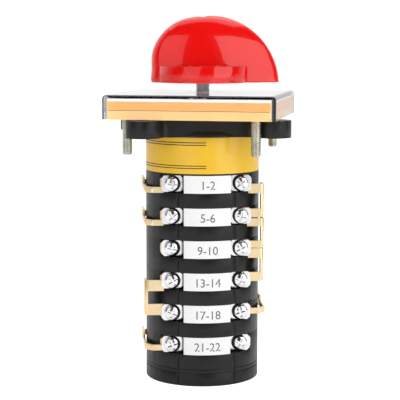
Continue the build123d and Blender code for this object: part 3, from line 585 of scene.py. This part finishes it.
PRINT_PROUD = 0.02 * MM  # ink above its surface


def label_numbers():
    """Terminal numbers on the six white labels."""
    digit_height = 3.3 * MM
    narrowing = 0.95
    drop = 0.5 * MM
    meshes = []
    for stage in range(1, STAGES + 1):
        first = 4 * stage - 3
        words = f"{first}-{first + 1}"
        drawing = text_mesh(words, digit_height, narrowing)
        meshes.append(wrapped(drawing, label_radius + PRINT_PROUD, terminal_height(stage) - drop))
    make_piece("label_numbers", *joined(meshes), "white_label", SWITCH, grey_ink, smooth=False)


def rating_lines():
    """Ruled lines on the yellow label, two near its top edge and two near its foot."""
    low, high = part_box("rating_label")
    radius = -low.y + PRINT_PROUD
    arc_start, arc_end = -34 * MM, -0.7 * MM
    half_line = 0.16 * MM
    meshes = []
    for height in (high.z - 1.9 * MM, high.z - 2.8 * MM, low.z + 3.0 * MM, low.z + 2.1 * MM):
        band = strip(arc_start, arc_end, -half_line, half_line, 60)
        meshes.append(wrapped(band, radius, height))
    make_piece("rating_lines", *joined(meshes), "yellow_label", SWITCH, black_ink, smooth=False)


def dial_print():
    """Position numbers and ticks on the dial plate, seen through the clear cover."""
    low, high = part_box("dial_plate")
    level = high.z + PRINT_PROUD
    figure_radius = 25 * MM
    figure_height = 4.5 * MM
    tick_start, tick_end, half_tick = -5.5 * MM, -3.4 * MM, 0.25 * MM
    meshes = []
    for words, angle in (("1", 60), ("0", 0), ("2", -60)):
        place = Matrix.Rotation(radians(angle), 4, "Z") @ Matrix.Translation((figure_radius, 0, level))
        figure = text_mesh(words, figure_height)
        tick = strip(tick_start, tick_end, -half_tick, half_tick, 1)
        upright_figure = ([Matrix.Rotation(-pi / 2, 4, "Z") @ v for v in figure[0]], figure[1])
        meshes.append(([place @ v for v in upright_figure[0]], figure[1]))
        meshes.append(([place @ v for v in tick[0]], tick[1]))
    make_piece("dial_figures", *joined(meshes), "white_plastic", FRONT_PLATE, black_ink, smooth=False)


label_numbers()
rating_lines()
dial_print()


# ---- studio -------------------------------------------------------------------------------------
# brightness of the surround and floor as seen, as lights and as reflected
SEEN_WHITE = 1.05
FLOOR_SEEN = 0.85
FLOOR_LIGHT = 0.30
SURROUND_LIGHT = 0.35
ROOM_REFLECTED = 0.02
BACKDROP_REFLECTED = 1.0
# name, place, width, height, watts
SOFT_BOXES = (
    ("left_box", (-0.39, -0.51, 0.25), 0.50, 0.7, 1.1),
    ("right_box", (0.49, -0.50, 0.25), 0.64, 0.7, 2.7),
    ("top_box", (0.0, 0.1, 0.75), 0.9, 0.6, 2.4),
)


def pale_floor():
    """White paper floor that fades into the surround; only the object's own shadow darkens it."""
    half = 3.0
    corners = [(-half, -half, 0), (half, -half, 0), (half, half, 0), (-half, half, 0)]
    mesh = bpy.data.meshes.new("floor")
    mesh.from_pydata(corners, [], [(0, 1, 2, 3)])
    floor = bpy.data.objects.new("floor", mesh)
    bpy.context.scene.collection.objects.link(floor)
    paper = shader("floor_paper", (0.93, 0.93, 0.93), 0.8)
    paper.node_tree.nodes["Principled BSDF"].inputs["Emission Color"].default_value = (1, 1, 1, 1)
    vary_colour(paper, noise(paper, 8, 3), (0.92, 0.92, 0.92), (0.94, 0.94, 0.94))
    nodes, links = paper.node_tree.nodes, paper.node_tree.links
    rays = nodes.new("ShaderNodeLightPath")
    glow = remap(paper, rays.outputs["Is Camera Ray"], FLOOR_LIGHT, FLOOR_SEEN, 0, 1)
    links.new(glow, nodes["Principled BSDF"].inputs["Emission Strength"])
    mesh.materials.append(paper)


def surround():
    """White where seen, dim as a light; reflections meet a pale backdrop and a dark room in front."""
    world = bpy.data.worlds.new("surround")
    bpy.context.scene.world = world
    world.use_nodes = True
    nodes, links = world.node_tree.nodes, world.node_tree.links
    nodes["Background"].inputs["Strength"].default_value = SEEN_WHITE
    nodes["Background"].inputs["Color"].default_value = (1, 1, 1, 1)
    place = nodes.new("ShaderNodeTexCoord")
    parts = nodes.new("ShaderNodeSeparateXYZ")
    depth = nodes.new("ShaderNodeMapRange")
    depth.inputs["From Min"].default_value = -0.1
    depth.inputs["From Max"].default_value = 0.5
    depth.inputs["To Min"].default_value = ROOM_REFLECTED
    depth.inputs["To Max"].default_value = BACKDROP_REFLECTED
    links.new(place.outputs["Generated"], parts.inputs["Vector"])
    links.new(parts.outputs["Y"], depth.inputs["Value"])
    rays = nodes.new("ShaderNodeLightPath")
    shader_so_far = nodes["Background"].outputs["Background"]
    for ray in ("Is Diffuse Ray", "Is Glossy Ray"):
        dimmer = nodes.new("ShaderNodeBackground")
        dimmer.inputs["Color"].default_value = (1, 1, 1, 1)
        dimmer.inputs["Strength"].default_value = SURROUND_LIGHT
        if ray == "Is Glossy Ray":
            links.new(depth.outputs["Result"], dimmer.inputs["Strength"])
        # what is seen through clear plastic stays white
        only = nodes.new("ShaderNodeMath")
        only.operation = "SUBTRACT"
        only.use_clamp = True
        links.new(rays.outputs[ray], only.inputs[0])
        links.new(rays.outputs["Is Transmission Ray"], only.inputs[1])
        mix = nodes.new("ShaderNodeMixShader")
        links.new(only.outputs["Value"], mix.inputs["Fac"])
        links.new(shader_so_far, mix.inputs[1])
        links.new(dimmer.outputs["Background"], mix.inputs[2])
        shader_so_far = mix.outputs["Shader"]
    links.new(shader_so_far, nodes["World Output"].inputs["Surface"])


def soft_boxes():
    """Large lamps at the left, right and top, aimed at the middle of the object."""
    target = Vector((0, 0, 0.075))
    for name, place, width, height, power in SOFT_BOXES:
        data = bpy.data.lights.new(name, "AREA")
        data.shape = "RECTANGLE"
        data.size = width
        data.size_y = height
        data.energy = power
        lamp = bpy.data.objects.new(name, data)
        bpy.context.scene.collection.objects.link(lamp)
        lamp.location = place
        lamp.rotation_euler = (target - Vector(place)).to_track_quat("-Z", "Y").to_euler()


pale_floor()
surround()
soft_boxes()
bpy.context.scene.view_settings.view_transform = "Standard"
